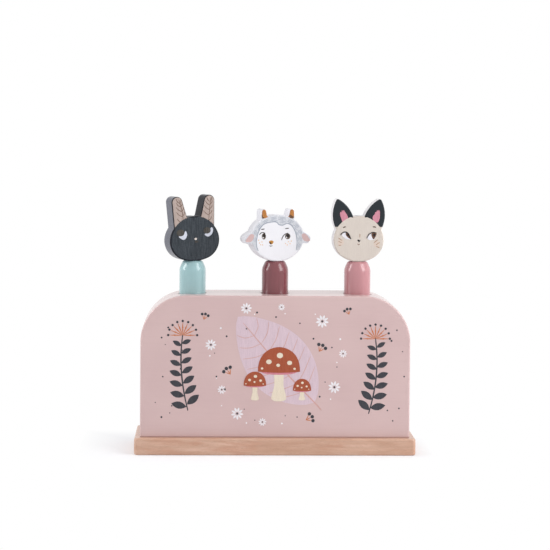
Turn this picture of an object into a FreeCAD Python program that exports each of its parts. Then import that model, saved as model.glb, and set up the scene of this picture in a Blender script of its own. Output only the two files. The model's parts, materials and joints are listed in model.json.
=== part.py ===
"""Pop-up peg toy in wood: three animal figures that spring out of a drilled block.

The block is two mirrored half blocks with half-round channels, glued face to face on
wooden dowels, so that the channels close into three round bores.  It is screwed from
below to a beech foot board.  A turned plug under each bore locates a compression
spring, a cap sits in the top coil, and a round peg with a flat animal head stands on
the cap.  Millimetres, +Z up, the front is -Y, and the origin is the centre of the foot
board's underside.
"""

import FreeCAD, Part
import math
import os

import Sketcher

PARTS_FOLDER = "parts"
SMOOTH_TURN = 15.0  # degrees; faces that turn by less count as one smooth run
FIRST_GUESS = 10.0  # millimetres; where a sketch point stands before its rules move it
TOLERANCE = 1e-4  # millimetres; for choosing edges by where they lie

# Driving sizes in millimetres and degrees.  Each one becomes a cell of the sheet.
SIZES = {
    # foot board
    "base_length": 200.0,
    "base_depth": 53.0,
    "base_height": 12.0,
    "base_corner_radius": 2.5,
    "base_edge_radius": 1.4,
    # block, both halves together
    "block_length": 192.0,
    "block_depth": 42.5,
    "block_height": 101.0,
    "block_shoulder_radius": 33.0,
    "block_edge_radius": 1.2,
    "bore_spacing": 59.5,
    "bore_clearance": 0.6,
    "bore_mouth_radius": 0.7,
    # dowels between the halves
    "dowel_diameter": 8.0,
    "dowel_length": 24.0,
    "dowel_low_height": 22.0,
    "dowel_high_height": 78.0,
    "dowel_end_height": 55.0,
    "dowel_end_inset": 16.0,
    "glue_gap": 0.05,
    # screws through the foot board
    "screw_shank_diameter": 4.0,
    "screw_head_diameter": 8.0,
    "screw_head_height": 2.4,
    "screw_length": 30.0,
    "screw_point_length": 5.0,
    "screw_sink": 0.3,
    "screw_end_inset": 13.0,
    "screw_row_offset": 10.5,
    "screw_slot_width": 1.1,
    "screw_slot_length": 4.6,
    "screw_slot_depth": 1.4,
    # springs with their plugs and caps
    "spring_length": 48.5,
    "spring_mean_diameter": 15.4,
    "spring_wire": 1.0,
    "spring_active_turns": 12.0,
    "spring_closed_gap": 0.2,
    "coil_clearance": 0.2,
    "plug_rise": 8.0,
    "plug_tenon": 5.0,
    "plug_chamfer": 1.2,
    "cap_diameter": 18.4,
    "cap_thickness": 2.0,
    "cap_stub": 6.0,
    "cap_chamfer": 1.0,
    # pegs and the pins that hold the heads
    "peg_diameter": 19.0,
    "peg_length": 74.0,
    "peg_taper_height": 5.6,
    "peg_taper_inset": 2.6,
    "peg_shoulder_radius": 10.0,
    "peg_crown_radius": 3.0,
    "peg_foot_chamfer": 0.8,
    "pin_diameter": 5.0,
    "pin_length": 20.0,
    "pin_depth_in_peg": 10.0,
    # heads
    "head_thickness": 12.5,
    "head_edge_radius": 0.9,
    "head_crotch_radius": 1.2,
    "neck_flat_sink": 0.35,
    # rabbit
    "rabbit_turn": 23.0,
    "rabbit_lean": 3.0,
    "rabbit_face_width": 38.2,
    "rabbit_face_height": 32.2,
    "rabbit_cheek_radius": 14.0,
    "rabbit_cheek_height": 14.5,
    "rabbit_ear_reach": 9.2,
    "rabbit_ear_foot": 22.5,
    "rabbit_ear_lean": 9.2,
    "rabbit_ear_length": 24.4,
    "rabbit_ear_foot_width": 12.6,
    "rabbit_ear_tip_radius": 4.1,
    # lamb
    "lamb_turn": 16.0,
    "lamb_lean": 0.0,
    "lamb_face_width": 39.6,
    "lamb_face_height": 33.6,
    "lamb_cheek_radius": 14.8,
    "lamb_cheek_height": 16.8,
    "lamb_ear_reach": 13.2,
    "lamb_ear_foot": 20.2,
    "lamb_ear_lean": 118.0,
    "lamb_ear_length": 12.8,
    "lamb_ear_foot_width": 8.6,
    "lamb_ear_tip_radius": 3.4,
    "lamb_horn_reach": 9.8,
    "lamb_horn_foot": 27.0,
    "lamb_horn_lean": 5.0,
    "lamb_horn_length": 10.4,
    "lamb_horn_foot_width": 5.6,
    "lamb_horn_tip_radius": 1.8,
    # cat
    "cat_turn": 2.5,
    "cat_lean": 0.0,
    "cat_face_width": 36.6,
    "cat_face_height": 33.2,
    "cat_cheek_radius": 14.7,
    "cat_cheek_height": 15.4,
    "cat_ear_tip_reach": 15.1,
    "cat_ear_tip_height": 43.3,
    "cat_ear_outer_reach": 15.4,
    "cat_ear_outer_height": 21.1,
    "cat_ear_inner_reach": 3.4,
    "cat_ear_inner_height": 30.3,
    "cat_ear_outer_radius": 23.5,
    "cat_ear_inner_radius": 23.0,
    "cat_ear_tip_radius": 1.6,
}

doc = FreeCAD.newDocument("pop_up_peg_toy")
sheet = doc.addObject("Spreadsheet::Sheet", "Sizes")
for row, (alias, number) in enumerate(SIZES.items(), start=1):
    sheet.set(f"A{row}", alias)
    sheet.set(f"B{row}", str(number))
    sheet.setAlias(f"B{row}", alias)
doc.recompute()

# Sizes that follow from the driving ones, as expressions that every feature shares.
BORE_DIAMETER = "(Sizes.peg_diameter + 2 * Sizes.bore_clearance)"
CAP_FOOT_HEIGHT = "(Sizes.base_height + Sizes.spring_length)"
PEG_FOOT_HEIGHT = f"({CAP_FOOT_HEIGHT} + Sizes.cap_thickness)"
PEG_TOP_HEIGHT = f"({PEG_FOOT_HEIGHT} + Sizes.peg_length)"
PLUG_DIAMETER = "(Sizes.spring_mean_diameter - Sizes.spring_wire - 2 * Sizes.coil_clearance)"
SCREW_REACH = "(Sizes.block_length / 2 - Sizes.screw_end_inset)"
SCREW_OFFSET = "Sizes.screw_row_offset"
CLOSED_PITCH = "(Sizes.spring_wire + Sizes.spring_closed_gap)"
COIL_START = "(Sizes.spring_wire / 4)"

UP = FreeCAD.Vector(0, 0, 1)
FIGURES = (("left", "rabbit", -1), ("middle", "lamb", 0), ("right", "cat", 1))


# ---------------------------------------------------------------- shared helpers


def new_body(label):
    """An empty body whose label is the node's name."""
    body = doc.addObject("PartDesign::Body", label)
    body.Label = label
    return body


def new_sketch(body, plane, name, height=None):
    """A sketch on one of the body's own origin planes, raised by an expression."""
    sketch = body.newObject("Sketcher::SketchObject", name)
    support = next(f for f in body.Origin.OriginFeatures if f.Role == plane)
    sketch.AttachmentSupport = (support, [""])
    sketch.MapMode = "FlatFace"
    if height is not None:
        sketch.setExpression("AttachmentOffset.Base.z", height)
    return sketch


def bind(feature, **sizes):
    """Ties properties of a feature to expressions on the sheet."""
    for name, expression in sizes.items():
        feature.setExpression(name, expression)
    return feature


def rule(sketch, expression, *constraint, drawn=FIRST_GUESS):
    """A dimension of a sketch, drawn at one value and then held by an expression."""
    index = sketch.addConstraint(Sketcher.Constraint(*constraint, drawn))
    sketch.setExpression(f"Constraints[{index}]", expression)


def locate(sketch, geometry, vertex, across, up):
    """Places a point of the sketch at two expressions, measured from its origin.

    An expression with a minus sign runs the other way, so the two points swap.
    """
    drawn = sketch.getPoint(geometry, vertex)
    for kind, axis, expression, now in (
        ("DistanceX", -2, across, drawn.x),
        ("DistanceY", -1, up, drawn.y),
    ):
        if expression == "0":
            constraint = Sketcher.Constraint("PointOnObject", geometry, vertex, axis)
            sketch.addConstraint(constraint)
        elif expression.startswith("-"):
            rule(sketch, expression[1:], kind, geometry, vertex, -1, 1, drawn=-now)
        else:
            rule(sketch, expression, kind, -1, 1, geometry, vertex, drawn=now)


def side(expression, start=FIRST_GUESS):
    """A first guess on the right side of the origin for a point's coordinate."""
    if expression == "0":
        return 0.0
    return -start if expression.startswith("-") else start


def add_circle(sketch, across, up, diameter):
    centre = FreeCAD.Vector(side(across), side(up), 0)
    circle = sketch.addGeometry(Part.Circle(centre, UP, FIRST_GUESS))
    locate(sketch, circle, 3, across, up)
    rule(sketch, diameter, "Diameter", circle)


def add_polygon(sketch, corners):
    """A closed outline of straight lines through corners given as expressions."""
    guesses = [
        FreeCAD.Vector(side(x, FIRST_GUESS + n), side(y, FIRST_GUESS + n), 0)
        for n, (x, y) in enumerate(corners)
    ]
    lines = [
        sketch.addGeometry(Part.LineSegment(guesses[n], guesses[(n + 1) % len(guesses)]))
        for n in range(len(guesses))
    ]
    for n, line in enumerate(lines):
        following = lines[(n + 1) % len(lines)]
        sketch.addConstraint(Sketcher.Constraint("Coincident", line, 2, following, 1))
        locate(sketch, line, 1, *corners[n])


def add_rectangle(sketch, left, right, bottom, top):
    add_polygon(sketch, [(left, bottom), (right, bottom), (right, top), (left, top)])


def pad(body, sketch, name, length, symmetric=False, backwards=False):
    feature = body.newObject("PartDesign::Pad", name)
    feature.Profile = sketch
    feature.SideType = "Symmetric" if symmetric else "One side"
    feature.Reversed = backwards
    return bind(feature, Length=length)


def pocket(body, sketch, name, depth=None, symmetric=False, backwards=False):
    """A pocket to a depth, or right through where no depth is given."""
    feature = body.newObject("PartDesign::Pocket", name)
    feature.Profile = sketch
    feature.SideType = "Symmetric" if symmetric else "One side"
    feature.Reversed = backwards
    if depth is None:
        feature.Type = "ThroughAll"
        return feature
    return bind(feature, Length=depth)


def revolve(body, sketch, name):
    feature = body.newObject("PartDesign::Revolution", name)
    feature.Profile = sketch
    feature.ReferenceAxis = (sketch, ["V_Axis"])
    return feature


def dress(body, kind, name, chosen, size):
    """A fillet or chamfer on the edges of the body so far that pass a test."""
    doc.recompute()
    base = body.Tip
    edges = [f"Edge{n}" for n, e in enumerate(base.Shape.Edges, start=1) if chosen(e)]
    feature = body.newObject(f"PartDesign::{kind}", name)
    feature.Base = (base, edges)
    return bind(feature, **{"Radius" if kind == "Fillet" else "Size": size})


def flat_in(edge, axis, place):
    """True for an edge that lies in the plane where one coordinate has a value."""
    low = getattr(edge.BoundBox, f"{axis}Min")
    high = getattr(edge.BoundBox, f"{axis}Max")
    return abs(low - place) < TOLERANCE and abs(high - place) < TOLERANCE


def runs_along(edge, axis):
    """True for a straight edge that is parallel to an axis."""
    return abs(getattr(edge.BoundBox, f"{axis}Length") - edge.Length) < TOLERANCE


def middle_of(edge):
    return edge.valueAt((edge.FirstParameter + edge.LastParameter) / 2)


def is_corner(shape, edge):
    """True where two faces meet at an edge without running smoothly on."""
    first, second = [
        face.normalAt(*face.Surface.parameter(middle_of(edge)))
        for face in shape.ancestorsOfType(edge, Part.Face)
    ]
    return abs(first.dot(second)) < math.cos(math.radians(SMOOTH_TURN))


def stand(body, across="0 mm", back="0 mm", up="0 mm", turn=None):
    """Moves a finished sub-part to its place in the toy."""
    for axis, expression in (("x", across), ("y", back), ("z", up)):
        body.setExpression(f"Placement.Base.{axis}", expression)
    if turn is not None:
        # A first turn fixes the axis; the expression then sets the angle.
        body.Placement.Rotation = FreeCAD.Rotation(UP, 1.0)
        body.setExpression("Placement.Rotation.Angle", turn)


def bore_place(step):
    """The across position of a bore, counted in bore spacings from the middle."""
    return {-1: "-Sizes.bore_spacing", 0: "0", 1: "Sizes.bore_spacing"}[step]


# ---------------------------------------------------------------- foot board


def build_base_board():
    body = new_body("base_board")
    outline = new_sketch(body, "XY_Plane", "base_outline")
    half_length, half_depth = "Sizes.base_length / 2", "Sizes.base_depth / 2"
    add_rectangle(
        outline, f"-{half_length}", half_length, f"-{half_depth}", half_depth
    )
    pad(body, outline, "base_slab", "Sizes.base_height")
    dress(
        body, "Fillet", "base_corners",
        lambda e: runs_along(e, "Z"),
        "Sizes.base_corner_radius",
    )
    dress(
        body, "Fillet", "base_edges",
        lambda e: flat_in(e, "Z", 0) or flat_in(e, "Z", SIZES["base_height"]),
        "Sizes.base_edge_radius",
    )

    sockets = new_sketch(body, "XY_Plane", "plug_sockets", "Sizes.base_height")
    for _, _, step in FIGURES:
        diameter = f"{PLUG_DIAMETER} + 2 * Sizes.glue_gap"
        add_circle(sockets, bore_place(step), "0", diameter)
    pocket(body, sockets, "plug_socket_cut", "Sizes.plug_tenon")
    doc.recompute()

    marks = new_sketch(body, "XY_Plane", "screw_marks")
    for x in (f"-{SCREW_REACH}", SCREW_REACH):
        for y in (f"-{SCREW_OFFSET}", SCREW_OFFSET):
            add_circle(marks, x, y, "Sizes.screw_shank_diameter")
    doc.recompute()
    holes = body.newObject("PartDesign::Hole", "screw_holes")
    holes.Profile = marks
    holes.Reversed = True
    holes.ThreadType = "None"
    holes.DepthType = "ThroughAll"
    holes.HoleCutType = "Countersink"
    holes.HoleCutCustomValues = True
    bind(
        holes,
        Diameter="Sizes.screw_shank_diameter + 2 * Sizes.glue_gap",
        HoleCutDiameter="Sizes.screw_head_diameter + 2 * Sizes.screw_sink",
        HoleCutCountersinkAngle="2 * atan((Sizes.screw_head_diameter"
        " - Sizes.screw_shank_diameter) / 2 / Sizes.screw_head_height)",
    )
    return body


# ---------------------------------------------------------------- block halves


def build_block_half(label, backwards):
    """One half of the block, with its joint face in the XZ plane of the body."""
    body = new_body(label)
    outward = 1 if backwards else -1
    outline = new_sketch(body, "XZ_Plane", f"{label}_outline")
    half_length = "Sizes.block_length / 2"
    add_rectangle(outline, f"-{half_length}", half_length, "0", "Sizes.block_height")
    half_depth = "Sizes.block_depth / 2"
    pad(body, outline, f"{label}_slab", half_depth, backwards=backwards)
    top = SIZES["block_height"]
    dress(
        body, "Fillet", f"{label}_shoulders",
        lambda e: flat_in(e, "Z", top) and runs_along(e, "Y"),
        "Sizes.block_shoulder_radius",
    )
    face = outward * SIZES["block_depth"] / 2
    dress(
        body, "Fillet", f"{label}_edges",
        lambda e: flat_in(e, "Y", face) and not flat_in(e, "Z", 0),
        "Sizes.block_edge_radius",
    )

    bores = new_sketch(body, "XY_Plane", f"{label}_bores")
    for _, _, step in FIGURES:
        add_circle(bores, bore_place(step), "0", BORE_DIAMETER)
    pocket(body, bores, f"{label}_channels", backwards=True)
    bore_radius = SIZES["peg_diameter"] / 2 + SIZES["bore_clearance"]

    def is_mouth(edge):
        """True for the rim at the top of a bore."""
        point = middle_of(edge)
        reaches = [
            math.hypot(point.x - step * SIZES["bore_spacing"], point.y)
            for _, _, step in FIGURES
        ]
        on_wall = any(abs(reach - bore_radius) < TOLERANCE for reach in reaches)
        return on_wall and edge.BoundBox.ZMin > top / 2

    dress(body, "Fillet", f"{label}_mouths", is_mouth, "Sizes.bore_mouth_radius")

    dowels = new_sketch(body, "XZ_Plane", f"{label}_dowel_marks")
    for across, up in dowel_places():
        diameter = "Sizes.dowel_diameter + 2 * Sizes.glue_gap"
        add_circle(dowels, across, up, diameter)
    depth = "Sizes.dowel_length / 2 + Sizes.glue_gap"
    pocket(body, dowels, f"{label}_dowel_holes", depth, backwards=not backwards)

    pilots = new_sketch(body, "XY_Plane", f"{label}_pilot_marks")
    across_block = SCREW_OFFSET if backwards else f"-{SCREW_OFFSET}"
    for x in (f"-{SCREW_REACH}", SCREW_REACH):
        add_circle(pilots, x, across_block, "Sizes.screw_shank_diameter + 2 * Sizes.glue_gap")
    depth = "Sizes.screw_length + Sizes.screw_sink + 2 * Sizes.glue_gap - Sizes.base_height"
    pocket(body, pilots, f"{label}_pilots", depth, backwards=True)
    stand(body, up="Sizes.base_height")
    return body


def dowel_places():
    """Centres of the dowels in the joint face: two between bores, one at each end."""
    between = "Sizes.bore_spacing / 2"
    end = "(Sizes.block_length / 2 - Sizes.dowel_end_inset)"
    return [
        (f"{sign}{across}", up)
        for sign in ("-", "")
        for across, up in (
            (between, "Sizes.dowel_low_height"),
            (between, "Sizes.dowel_high_height"),
            (end, "Sizes.dowel_end_height"),
        )
    ]


def build_block_dowels():
    body = new_body("block_dowels")
    body.AllowCompound = True
    sketch = new_sketch(body, "XZ_Plane", "dowel_rounds")
    for across, up in dowel_places():
        add_circle(sketch, across, up, "Sizes.dowel_diameter")
    pad(body, sketch, "dowel_rods", "Sizes.dowel_length", symmetric=True)
    stand(body, up="Sizes.base_height")
    return body


def build_base_screws():
    """Countersunk wood screws with a cross slot, driven up through the foot board."""
    body = new_body("base_screws")
    body.AllowCompound = True
    profile = new_sketch(body, "XZ_Plane", "screw_profile")
    head, shank = "Sizes.screw_head_diameter / 2", "Sizes.screw_shank_diameter / 2"
    neck = "Sizes.screw_head_height"
    point = "(Sizes.screw_length - Sizes.screw_point_length)"
    add_polygon(
        profile,
        [
            ("0", "0"),
            (head, "0"),
            (shank, neck),
            (shank, point),
            ("0", "Sizes.screw_length"),
        ],
    )
    screw = revolve(body, profile, "screw_turned")
    cross = new_sketch(body, "XY_Plane", "screw_cross")
    arm, half = "Sizes.screw_slot_length / 2", "Sizes.screw_slot_width / 2"
    add_polygon(
        cross,
        [
            (f"-{half}", f"-{arm}"), (half, f"-{arm}"), (half, f"-{half}"),
            (arm, f"-{half}"), (arm, half), (half, half),
            (half, arm), (f"-{half}", arm), (f"-{half}", half),
            (f"-{arm}", half), (f"-{arm}", f"-{half}"), (f"-{half}", f"-{half}"),
        ],
    )
    slot = pocket(body, cross, "screw_slot", "Sizes.screw_slot_depth", backwards=True)
    rows = body.newObject("PartDesign::LinearPattern", "screw_rows")
    rows.Originals = [screw, slot]
    rows.Direction = (profile, ["H_Axis"])
    rows.Direction2 = (cross, ["V_Axis"])
    rows.Occurrences = 2
    rows.Occurrences2 = 2
    bind(rows, Length=f"2 * {SCREW_REACH}", Length2=f"2 * {SCREW_OFFSET}")
    body.Tip = rows
    stand(body, f"-{SCREW_REACH}", f"-{SCREW_OFFSET}", "Sizes.screw_sink")
    return body


# ---------------------------------------------------------------- springs


def build_spring_plug(place, step):
    """A turned plug glued in the foot board; the spring's end coils sit round it."""
    body = new_body(f"{place}_spring_plug")
    sketch = new_sketch(body, "XZ_Plane", f"{place}_plug_profile")
    radius, inner = f"{PLUG_DIAMETER} / 2", f"({PLUG_DIAMETER} / 2 - Sizes.plug_chamfer)"
    top = "(Sizes.plug_tenon + Sizes.plug_rise)"
    add_polygon(
        sketch,
        [
            ("0", "0"),
            (radius, "0"),
            (radius, f"({top} - Sizes.plug_chamfer)"),
            (inner, top),
            ("0", top),
        ],
    )
    revolve(body, sketch, f"{place}_plug_turned")
    stand(body, f"{step} * Sizes.bore_spacing", up="Sizes.base_height - Sizes.plug_tenon")
    return body


def build_spring(place, step):
    """A compression spring with one closed turn, ground flat, at each end."""
    body = new_body(f"{place}_spring")
    active_rise = f"(Sizes.spring_length - 2 * ({COIL_START} + {CLOSED_PITCH}))"
    active_pitch = f"({active_rise} / Sizes.spring_active_turns)"
    stages = (
        ("foot", COIL_START, CLOSED_PITCH, "1"),
        ("active", f"({COIL_START} + {CLOSED_PITCH})", active_pitch,
         "Sizes.spring_active_turns"),
        ("crown", f"({COIL_START} + {CLOSED_PITCH} + {active_rise})", CLOSED_PITCH, "1"),
    )
    for stage, height, pitch, turns in stages:
        wire = new_sketch(body, "XZ_Plane", f"{place}_{stage}_wire")
        add_circle(wire, "Sizes.spring_mean_diameter / 2", height, "Sizes.spring_wire")
        coil = body.newObject("PartDesign::AdditiveHelix", f"{place}_{stage}_coil")
        coil.Profile = wire
        coil.ReferenceAxis = (wire, ["V_Axis"])
        coil.Mode = "pitch-turns-angle"
        bind(coil, Pitch=pitch, Turns=turns)
        doc.recompute()

    for end, height, upwards in (("foot", "0", False), ("crown", "Sizes.spring_length", True)):
        grind = new_sketch(body, "XY_Plane", f"{place}_{end}_ground", height)
        add_circle(grind, "0", "0", "2 * Sizes.spring_mean_diameter")
        pocket(body, grind, f"{place}_{end}_cut", "Sizes.spring_wire", backwards=upwards)
    stand(body, f"{step} * Sizes.bore_spacing", up="Sizes.base_height")
    return body


def build_spring_cap(place, step):
    """A moulded cap: a disc on the top coil with a stub inside the coil."""
    body = new_body(f"{place}_spring_cap")
    sketch = new_sketch(body, "XZ_Plane", f"{place}_cap_profile")
    disc, stub = "Sizes.cap_diameter / 2", f"({PLUG_DIAMETER} / 2)"
    add_polygon(
        sketch,
        [
            ("0", "-Sizes.cap_stub"),
            (f"({stub} - Sizes.cap_chamfer)", "-Sizes.cap_stub"),
            (stub, "-(Sizes.cap_stub - Sizes.cap_chamfer)"),
            (stub, "0"),
            (disc, "0"),
            (disc, "Sizes.cap_thickness"),
            ("0", "Sizes.cap_thickness"),
        ],
    )
    revolve(body, sketch, f"{place}_cap_turned")
    stand(body, f"{step} * Sizes.bore_spacing", up=CAP_FOOT_HEIGHT)
    return body


# ---------------------------------------------------------------- pegs and pins


def build_peg(animal, step):
    """A round peg with a rounded shoulder and a flat top that carries the head."""
    body = new_body(f"{animal}_peg")
    sketch = new_sketch(body, "XZ_Plane", f"{animal}_peg_profile")
    radius, top = "Sizes.peg_diameter / 2", "Sizes.peg_length"
    add_polygon(
        sketch,
        [
            ("0", "0"),
            (f"({radius} - Sizes.peg_foot_chamfer)", "0"),
            (radius, "Sizes.peg_foot_chamfer"),
            (radius, f"({top} - Sizes.peg_taper_height)"),
            (f"({radius} - Sizes.peg_taper_inset)", top),
            ("0", top),
        ],
    )
    revolve(body, sketch, f"{animal}_peg_turned")
    taper_start = SIZES["peg_length"] - SIZES["peg_taper_height"]
    dress(
        body, "Fillet", f"{animal}_peg_shoulder",
        lambda e: flat_in(e, "Z", taper_start),
        "Sizes.peg_shoulder_radius",
    )
    dress(
        body, "Fillet", f"{animal}_peg_crown",
        lambda e: flat_in(e, "Z", SIZES["peg_length"]),
        "Sizes.peg_crown_radius",
    )

    hole = new_sketch(body, "XY_Plane", f"{animal}_peg_pin_mark", "Sizes.peg_length")
    add_circle(hole, "0", "0", "Sizes.pin_diameter + 2 * Sizes.glue_gap")
    depth = "Sizes.pin_depth_in_peg + Sizes.glue_gap"
    pocket(body, hole, f"{animal}_peg_pin_hole", depth)
    stand(body, f"{step} * Sizes.bore_spacing", up=PEG_FOOT_HEIGHT)
    return body


def build_neck_pin(animal, step):
    """A wooden pin glued half in the peg and half in the head."""
    pin = doc.addObject("Part::Cylinder", f"{animal}_neck_pin")
    pin.Label = f"{animal}_neck_pin"
    bind(pin, Radius="Sizes.pin_diameter / 2", Height="Sizes.pin_length")
    height = f"{PEG_TOP_HEIGHT} - Sizes.pin_depth_in_peg"
    stand(pin, f"{step} * Sizes.bore_spacing", up=height)
    return pin


# ---------------------------------------------------------------- heads


def sketch_on_face(body, face, name):
    """A sketch that shares the face outline's axes, so that it leans as the face does."""
    sketch = body.newObject("Sketcher::SketchObject", name)
    sketch.AttachmentSupport = (face, [""])
    sketch.MapMode = "ObjectXY"
    return sketch


def add_tab(body, face, animal, name, reach, foot, lean, length, foot_width, tip_radius):
    """A round-ended tab, such as an ear, that leans out from the middle of a head."""
    sketch = sketch_on_face(body, face, f"{animal}_{name}_outline")
    # A first turn fixes the axis; the expression then sets the angle.
    sketch.AttachmentOffset = FreeCAD.Placement(
        FreeCAD.Vector(), FreeCAD.Rotation(-UP, 1.0)
    )
    bind(sketch, **{
        "AttachmentOffset.Base.x": reach,
        "AttachmentOffset.Base.y": foot,
        "AttachmentOffset.Rotation.Angle": lean,
    })
    tall = SIZES[f"{animal}_{name}_length"]
    tip = SIZES[f"{animal}_{name}_tip_radius"]
    wide = SIZES[f"{animal}_{name}_foot_width"] / 2
    corners = [(wide, tall - tip), (wide, 0), (-wide, 0), (-wide, tall - tip)]
    points = [FreeCAD.Vector(x, y, 0) for x, y in corners]
    right, bottom, left = [
        sketch.addGeometry(Part.LineSegment(points[n], points[n + 1])) for n in range(3)
    ]
    round_tip = Part.Circle(FreeCAD.Vector(0, tall - tip, 0), UP, tip)
    arc = sketch.addGeometry(Part.ArcOfCircle(round_tip, 0, math.pi))
    for first, second in (((right, 2), (bottom, 1)), ((bottom, 2), (left, 1))):
        sketch.addConstraint(Sketcher.Constraint("Coincident", *first, *second))
    sketch.addConstraint(Sketcher.Constraint("Tangent", arc, 1, right, 1))
    sketch.addConstraint(Sketcher.Constraint("Tangent", arc, 2, left, 2))
    locate(sketch, bottom, 1, f"{foot_width} / 2", "0")
    locate(sketch, bottom, 2, f"-{foot_width} / 2", "0")
    locate(sketch, arc, 3, "0", f"({length} - {tip_radius})")
    rule(sketch, tip_radius, "Radius", arc, drawn=tip)
    return pad(body, sketch, f"{animal}_{name}", "Sizes.head_thickness", symmetric=True)


def meeting_point(first, first_radius, second, second_radius, side_sign):
    """Where two circles meet, on the left (+1) or right (-1) of first to second."""
    apart = second - first
    along = (first_radius ** 2 - second_radius ** 2 + apart.Length ** 2) / (2 * apart.Length)
    off = (first_radius ** 2 - along ** 2) ** 0.5
    unit = FreeCAD.Vector(apart).normalize()
    return first + unit * along + FreeCAD.Vector(-unit.y, unit.x, 0) * off * side_sign


def add_pointed_ear(body, face, animal):
    """A cat's ear: two bowed edges that run into a small round tip."""
    sketch = sketch_on_face(body, face, f"{animal}_ear_outline")

    def corner(name):
        return FreeCAD.Vector(
            SIZES[f"{animal}_ear_{name}_reach"], SIZES[f"{animal}_ear_{name}_height"], 0
        )

    def angle(start, end):
        return math.atan2(end.y - start.y, end.x - start.x)

    def add_arc(centre, radius, start, end):
        if end < start:
            end += 2 * math.pi
        circle = Part.Circle(centre, UP, radius)
        return sketch.addGeometry(Part.ArcOfCircle(circle, start, end))

    tip, outer, inner = corner("tip"), corner("outer"), corner("inner")
    tip_radius = SIZES[f"{animal}_ear_tip_radius"]
    outer_radius = SIZES[f"{animal}_ear_outer_radius"]
    inner_radius = SIZES[f"{animal}_ear_inner_radius"]
    outer_centre = meeting_point(outer, outer_radius, tip, outer_radius - tip_radius, 1)
    inner_centre = meeting_point(inner, inner_radius, tip, inner_radius - tip_radius, -1)
    leave, join = angle(outer_centre, tip), angle(inner_centre, tip)
    outer_edge = add_arc(outer_centre, outer_radius, angle(outer_centre, outer), leave)
    round_tip = add_arc(tip, tip_radius, leave, join)
    inner_edge = add_arc(inner_centre, inner_radius, join, angle(inner_centre, inner))
    closing = sketch.addGeometry(Part.LineSegment(inner, outer))
    for first, second in ((outer_edge, round_tip), (round_tip, inner_edge)):
        sketch.addConstraint(Sketcher.Constraint("Tangent", first, 2, second, 1))
    for first, second in ((inner_edge, closing), (closing, outer_edge)):
        sketch.addConstraint(Sketcher.Constraint("Coincident", first, 2, second, 1))
    for geometry, vertex, name in (
        (outer_edge, 1, "outer"), (round_tip, 3, "tip"), (inner_edge, 2, "inner")
    ):
        start = f"Sizes.{animal}_ear_{name}"
        locate(sketch, geometry, vertex, f"{start}_reach", f"{start}_height")
        radius = f"{animal}_ear_{name}_radius"
        rule(sketch, f"Sizes.{radius}", "Radius", geometry, drawn=SIZES[radius])
    return pad(body, sketch, f"{animal}_ear", "Sizes.head_thickness", symmetric=True)


def add_face(body, animal):
    """A face of four tangent arcs, forehead, two cheeks and chin, that leans on its pin."""
    sketch = new_sketch(body, "XZ_Plane", f"{animal}_face_outline")
    # A first turn fixes the axis; the expression then sets the angle.
    sketch.AttachmentOffset = FreeCAD.Placement(FreeCAD.Vector(), FreeCAD.Rotation(UP, 1.0))
    bind(sketch, **{"AttachmentOffset.Rotation.Angle": f"Sizes.{animal}_lean"})
    half_width = SIZES[f"{animal}_face_width"] / 2
    sink = SIZES["neck_flat_sink"]
    top = SIZES[f"{animal}_face_height"] - sink
    cheek = SIZES[f"{animal}_cheek_radius"]
    reach, level = half_width - cheek, SIZES[f"{animal}_cheek_height"]

    def cap(edge, side_sign):
        """Radius and centre height of the arc that closes the cheeks at an edge."""
        gap = abs(edge - level)
        radius = (reach ** 2 + gap ** 2 - cheek ** 2) / (2 * (gap - cheek))
        return radius, edge - side_sign * radius

    crown, crown_level = cap(top, 1)
    chin, chin_level = cap(-sink, -1)
    meet_top = math.atan2(level - crown_level, reach)
    meet_low = math.atan2(level - chin_level, reach)
    straight, turn = math.pi, 2 * math.pi
    right, forehead, left, base = [
        sketch.addGeometry(Part.ArcOfCircle(
            Part.Circle(FreeCAD.Vector(x, y, 0), UP, radius), start, end
        ))
        for x, y, radius, start, end in (
            (reach, level, cheek, meet_low, meet_top),
            (0, crown_level, crown, meet_top, straight - meet_top),
            (-reach, level, cheek, straight - meet_top, straight - meet_low),
            (0, chin_level, chin, straight - meet_low, turn + meet_low),
        )
    ]
    for first, second in ((right, forehead), (forehead, left), (left, base), (base, right)):
        sketch.addConstraint(Sketcher.Constraint("Tangent", first, 2, second, 1))
    for centred in (forehead, base):
        sketch.addConstraint(Sketcher.Constraint("PointOnObject", centred, 3, -2))
    rule(sketch, f"Sizes.{animal}_cheek_radius", "Radius", right, drawn=cheek)
    sketch.addConstraint(Sketcher.Constraint("Equal", right, left))
    across = f"(Sizes.{animal}_face_width / 2 - Sizes.{animal}_cheek_radius)"
    locate(sketch, right, 3, across, f"Sizes.{animal}_cheek_height")
    for arc, edge, expression in (
        (forehead, top, f"(Sizes.{animal}_face_height - Sizes.neck_flat_sink)"),
        (base, -sink, "-Sizes.neck_flat_sink"),
    ):
        point = sketch.addGeometry(Part.Point(FreeCAD.Vector(0, edge, 0)), True)
        locate(sketch, point, 1, "0", expression)
        sketch.addConstraint(Sketcher.Constraint("PointOnObject", point, 1, arc))
    pad(body, sketch, f"{animal}_face", "Sizes.head_thickness", symmetric=True)
    return sketch


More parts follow.
